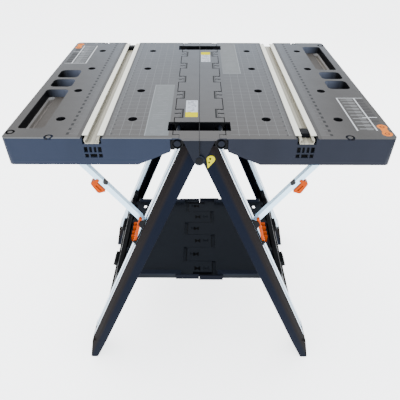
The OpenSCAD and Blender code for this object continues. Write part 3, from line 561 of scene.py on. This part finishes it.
def spine_material():
    """The grey of the top, with painted shade below its face and a dark outline of painted shade
    round each knuckle.
    """
    s = Shader("spine_plastic", GREY, TOP_ROUGHNESS, specular=TOP_SPECULAR)
    s.top_tone()
    # Painted shade below the face
    s.paint(s.below(0.9), SHADE_BLACK)
    end = s.maths("GREATER_THAN", s.size(s.y), BACK - 0.5 * MM)
    s.paint(s.both(end, s.layer(6, 0)), END_GREY)
    along = s.size(s.from_cell_middle(s.y, KNUCKLE_SHIFT, KNUCKLE_PITCH))
    reach = s.size(s.x)
    tip = s.both(s.within(reach, *OUTLINE_TIP_X), s.less(along, OUTLINE_HALF_WIDTH))
    flanks = s.both(s.more(reach, OUTLINE_FLANK_X), s.within(along, *OUTLINE_FLANK_WIDTHS))
    rows = s.less(s.size(s.y), KNUCKLE_ROW_END)
    # Painted shade in the gaps round each knuckle
    s.paint(s.both(s.layer(0.9, -1), rows, s.either(tip, flanks)), SHADE_BLACK)
    s.vary_roughness(TOP_ROUGHNESS, scale=40.0, amount=0.12)
    s.grain(900.0, strength=0.25, distance=0.4)
    return s.done()


def leg_material():
    """Navy coat, with a browner band along the outer edge."""
    s = Shader("leg_coat", (0.0022, 0.0032, 0.0066), 0.42, specular=0.012)
    # Distance from the leg's outer edge, negative to the inside
    lean = math.radians(LEG_LEAN)
    fall = s.maths("SUBTRACT", TOP - LEG_EDGE_DEPTH * MM, s.z)
    edge = s.maths("SUBTRACT",
                   s.maths("MULTIPLY", s.past(s.size(s.x), LEG_EDGE_X), math.cos(lean)),
                   s.maths("MULTIPLY", fall, math.sin(lean)))
    start, end = COAT_BLEND
    band = s.node("ShaderNodeMapRange", Value=edge,
                  **{"From Min": start * MM, "From Max": end * MM})
    s.mottle(5.0, *COAT)
    s.paint(band.outputs[0], COAT_EDGE)
    s.vary_roughness(0.42, scale=25.0, amount=0.14)
    s.grain(600.0, strength=0.12, distance=0.3)
    return s.done()


def black_material():
    """Black plastic of the rails, rods, pins and brackets, also laid on the liners and the seam
    strip, dark sheets that stand in for shade.
    """
    s = Shader("black_plastic", (0.003, 0.0034, 0.004), 0.5, specular=0.06)
    s.mottle(7.0, *BLACK)
    s.vary_roughness(0.5, scale=30.0, amount=0.16)
    s.grain(700.0, strength=0.2, distance=0.3)
    return s.done()


def strut_material():
    """Pale drawn metal tinted blue by a painted reflection, with one dark plug on its upper
    side, across from the trigger.
    """
    s = Shader("strut_metal", (0.47, 0.63, 0.76), 0.34, metallic=0.1, specular=0.2)
    streaks = s.noise(STREAK_SCALE, 2.0, ALONG_Z)
    # Pale metal, with a painted blue reflection in its colour
    s.colour = s.mix(streaks, *STRUT_METAL_AND_REFLECTION)
    height = s.maths("SUBTRACT", s.z, TOP - PLUG_DEPTH * MM)
    plug = s.less(s.distance(s.past(s.size(s.x), PLUG_X), height), PLUG_RADIUS)
    s.paint(plug, INK_AND_SHADE)
    s.set("Metallic", s.mix_value(plug, 0.1, 0.0))
    s.bump(streaks, strength=0.06, distance=0.2)
    return s.done()


def shelf_material(side):
    """Black shelf with bow-tie recesses along its middle painted dark as painted shade, and a
    bluish rim.
    """
    left = side == "left"
    s = Shader(f"{side}_shelf_plastic", (0.004, 0.0044, 0.005), 0.5, specular=0.02)
    top = s.maths("GREATER_THAN", s.z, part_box("left_shelf")[0][2] + SHELF_FLOOR_HEIGHT * MM)
    s.mottle(7.0, *SHELF)
    du = s.size(s.past(s.x, -6 if left else -11))
    v = s.maths("MULTIPLY", s.y, 1.0 if left else -1.0)
    along = s.size(s.from_cell_middle(v, TIE_SHIFT, TIE_PITCH))
    half_width = s.maths("ADD", s.maths("MULTIPLY", du, TIE_FLARE), TIE_WAIST * MM)
    tie = s.both(top, s.less(du, TIE_HALF_LENGTH), s.maths("LESS_THAN", along, half_width))
    # Painted shade in the bow-tie recesses
    s.paint(tie, SHELF_RECESS_SHADE)
    rim = s.maths("GREATER_THAN", s.z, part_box("left_shelf")[1][2] - SHELF_RIM_WIDTH * MM)
    s.paint(rim, SHELF_RIM)
    s.paint(s.more(s.size(s.y), SHELF_LIP_Y), SHELF_LIP)
    s.vary_roughness(0.5, scale=30.0, amount=0.16)
    s.grain(700.0, strength=0.2, distance=0.3)
    return s.done()


def metal_material(name, colour, roughness, metallic, stretch):
    """Drawn metal: fine streaks along the piece."""
    s = Shader(name, colour, roughness, metallic)
    streaks = s.noise(STREAK_SCALE, 2.0, stretch)
    s.colour = s.mix(streaks, tint(colour, 0.9), colour)
    s.vary_roughness(roughness, scale=60.0, amount=0.12)
    s.bump(streaks, strength=0.06, distance=0.2)
    return s.done()


def track_material():
    """Cream flanges over a beige channel with fine lines along it."""
    s = Shader("track_metal", (0.42, 0.41, 0.35), 0.42, metallic=0.1)
    u = s.past(s.size(s.x), TRACK_X)
    channel = s.below(TRACK_FLANGE_DEPTH)
    streaks = s.noise(STREAK_SCALE, 2.0, ALONG_Y)
    s.colour = s.mix(streaks, *TRACK_FLANGE)
    s.paint(channel, TRACK_FLOOR)
    lines = s.either(*(s.within(u, *line) for line in TRACK_LINES_U))
    s.paint(s.both(channel, lines), TRACK_LINE)
    s.paint(s.both(channel, s.within(u, *TRACK_RIDGE_U)), TRACK_RIDGE)
    s.bump(streaks, strength=0.06, distance=0.2)
    return s.done()


def bracket_material():
    """Slate plastic of the V-shaped end plates, mottled a little."""
    s = Shader("slate_plastic", SLATE, 0.5, specular=0.08)
    s.mottle(12.0, tint(SLATE, 0.26), tint(SLATE, 0.35))
    s.grain(800.0, strength=0.15, distance=0.3)
    return s.done()


def plastic_material(name, colour, roughness):
    """Plain plastic of one colour, mottled a little."""
    s = Shader(name, colour, roughness, specular=0.04)
    s.mottle(30.0, colour, tint(colour, 0.86))
    s.grain(700.0, strength=0.1, distance=0.2)
    return s.done()


def label_material():
    """White plate with a yellow end and plain grey rules."""
    s = Shader("label", (0.36, 0.38, 0.40), 0.4, specular=0.0)
    v = s.size(s.y)
    yellow = s.maths("GREATER_THAN", v, BACK - LABEL_YELLOW_START * MM)
    rules = s.both(s.comb(v, start=0, pitch=7, width=3), s.within(s.size(s.x), *LABEL_RULES_X),
                   s.speckles(130.0, share=0.48))
    s.colour = s.mix(rules, LABEL_WHITE, LABEL_GREY)
    s.paint(yellow, YELLOW)
    return s.done()


# Thin pieces that the CAD leaves out: labels, the leg's mark, and dark sheets that stand in for
# shade
def prism(name, low, high, material, body):
    """A thin piece between two rings of points, one straight over the other."""
    n = len(low)
    faces = [tuple(range(n - 1, -1, -1)), tuple(range(n, 2 * n))]
    faces += [(i, (i + 1) % n, n + (i + 1) % n, n + i) for i in range(n)]
    data = bpy.data.meshes.new(name)
    data.from_pydata(low + high, [], faces)
    data.update()
    obj = bpy.data.objects.new(name, data)
    obj.data.materials.append(material)
    bpy.context.scene.collection.objects.link(obj)
    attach(obj, body)


def flat_piece(name, outline, z0, z1, material, body):
    """A level sheet over an outline of (x, y) points."""
    low, high = ([(x, y, z) for x, y in outline] for z in (z0, z1))
    prism(name, low, high, material, body)


def round_rect(x0, y0, x1, y1, r, steps=5):
    """Outline of a rectangle with round corners, in metres."""
    corners = ((x1 - r, y1 - r, 0), (x0 + r, y1 - r, 90),
               (x0 + r, y0 + r, 180), (x1 - r, y0 + r, 270))
    points = []
    for cx, cy, start in corners:
        for i in range(steps + 1):
            angle = math.radians(start + 90 * i / steps)
            points.append((cx + r * math.cos(angle), cy + r * math.sin(angle)))
    return points


def dot(centre, radius, steps=16):
    return [centre + polar(radius, 2 * math.pi * i / steps) for i in range(steps)]


def add_labels(material):
    """A plate in each label recess of the spine."""
    plate = round_rect(*(c * MM for c in LABEL_PLATE), LABEL_ROUNDING * MM)
    deep, shallow = LABEL_DEPTH
    for side, turn, body in (("left", 1, "left_frame"), ("right", -1, "right_frame")):
        outline = [(turn * x, turn * (FRONT + y)) for x, y in plate]
        flat_piece(f"{side}_label", outline, TOP - deep * MM, TOP - shallow * MM, material, body)


def add_drop(yellow, ink):
    """Yellow drop-shaped mark on the right front leg, below the main pivot."""
    centre = Vector([c * MM for c in DROP_CENTRE])
    tip = Vector([c * MM for c in DROP_TIP])
    away = (centre - tip).normalized()
    base = math.atan2(away.y, away.x)
    arc = [centre + polar(DROP_RADIUS * MM, base + math.radians(a))
           for a in range(-115, 116, 10)]
    upper_dot, lower_dot = (dot(centre + Vector(place) * MM, radius * MM)
                            for place, radius in (UPPER_DOT, LOWER_DOT))
    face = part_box("right_front_leg")[0][1]
    for name, points, lift, material in (("pivot_mark", arc + [tip], DROP_LIFT, yellow),
                                         ("pivot_mark_dot_1", upper_dot, DOT_LIFT, ink),
                                         ("pivot_mark_dot_2", lower_dot, DOT_LIFT, ink)):
        low, high = ([(p.x, y, p.y) for p in points]
                     for y in (face - DROP_SINK * MM, face - lift * MM))
        prism(name, low, high, material, "right_frame")


def add_seam_shade(material):
    """Dark strip that closes the seam between the two spine halves and stands in for the shade
    in it.
    """
    half = SEAM_HALF_WIDTH * MM
    end = SEAM_END * MM
    deep, shallow = SEAM_DEPTH
    outline = round_rect(-half, FRONT + end, half, BACK - end, SEAM_ROUNDING * MM)
    flat_piece("seam_shade_strip", outline, TOP - deep * MM, TOP - shallow * MM, material,
               "left_frame")


def add_liners(material):
    """Thin dark sheets below the knuckles and below the shelf's fingers, which stand in for
    shade in the gaps there, and one beside the rails.
    """
    knuckle_z = TOP - 30.5 * MM
    finger_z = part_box("left_shelf")[0][2] + 10.8 * MM
    rail_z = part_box("left_side_rail")[0][2] + 2.5 * MM
    for side, turn in (("left", 1), ("right", -1)):
        # The two shelf liners overlap in the middle, so the right one lies a little lower
        drop = 0.0 if side == "left" else 0.4 * MM
        sheets = (      # name, x0, y0, x1, y1, height, body
            ("hinge_shade_liner", -60.5, FRONT / MM + 22, -29, BACK / MM - 22, knuckle_z, "frame"),
            ("shelf_shade_liner", -60, -186, 0.4, 186, finger_z - drop, "shelf_body"),
            ("rail_flange", -263, -196, -236, 196, rail_z, "frame"),
        )
        for name, x0, y0, x1, y1, z, body in sheets:
            sheet = round_rect(x0 * MM, y0 * MM, x1 * MM, y1 * MM, LINER_ROUNDING * MM)
            outline = [(turn * x, turn * y) for x, y in sheet]
            flat_piece(f"{side}_{name}", outline, z, z + LINER_THICKNESS * MM, material,
                       f"{side}_{body}")


def dress(materials):
    """Gives each CAD node its material, by its name, and a fine bevel."""
    for name, obj in nodes.items():
        material = next(made for key, made in materials if key in name)
        if not obj.material_slots:
            obj.data.materials.append(material)
        for slot in obj.material_slots:
            slot.material = material
        large = "leaf" in name or "leg" in name or "foot" in name
        weld = obj.modifiers.new("weld", "WELD")
        weld.merge_threshold = WELD * MM
        bevel = obj.modifiers.new("bevel", "BEVEL")
        bevel.width = (LARGE_BEVEL if large else SMALL_BEVEL) * MM
        bevel.segments = 2
        bevel.limit_method = "ANGLE"
        bevel.angle_limit = math.radians(35)
        bevel.harden_normals = True


add_camera()
add_stage()
orange = plastic_material("orange_plastic", ORANGE, 0.38)
leg = leg_material()
black = black_material()
strut = strut_material()
channel = metal_material("channel_metal", (0.50, 0.64, 0.76), 0.34, 0.1, ALONG_Z)
steel = metal_material("dark_steel", (0.016, 0.018, 0.022), 0.4, 0.5, (1, 0.05, 1))
bracket = bracket_material()
# The first key that a node's name contains says its material
dress((
    ("latch_bracket", black),
    ("latch", orange), ("trigger", orange), ("dog", orange),
    ("strut_pin", steel), ("strut", strut), ("channel", channel),
    ("track_stop", black), ("track", track_material()),
    ("hinge_rod", bracket), ("rod", black), ("pins", black), ("hinge_bracket", bracket),
    ("leg", leg), ("foot", leg), ("side_rail", black),
    ("left_shelf", shelf_material("left")), ("right_shelf", shelf_material("right")),
    ("spine", spine_material()),
    ("left_leaf", leaf_material("left")), ("right_leaf", leaf_material("right")),
))
add_labels(label_material())
add_seam_shade(black)
add_liners(black)
add_drop(plastic_material("yellow_mark", YELLOW, 0.4), plastic_material("ink", INK_AND_SHADE, 0.5))
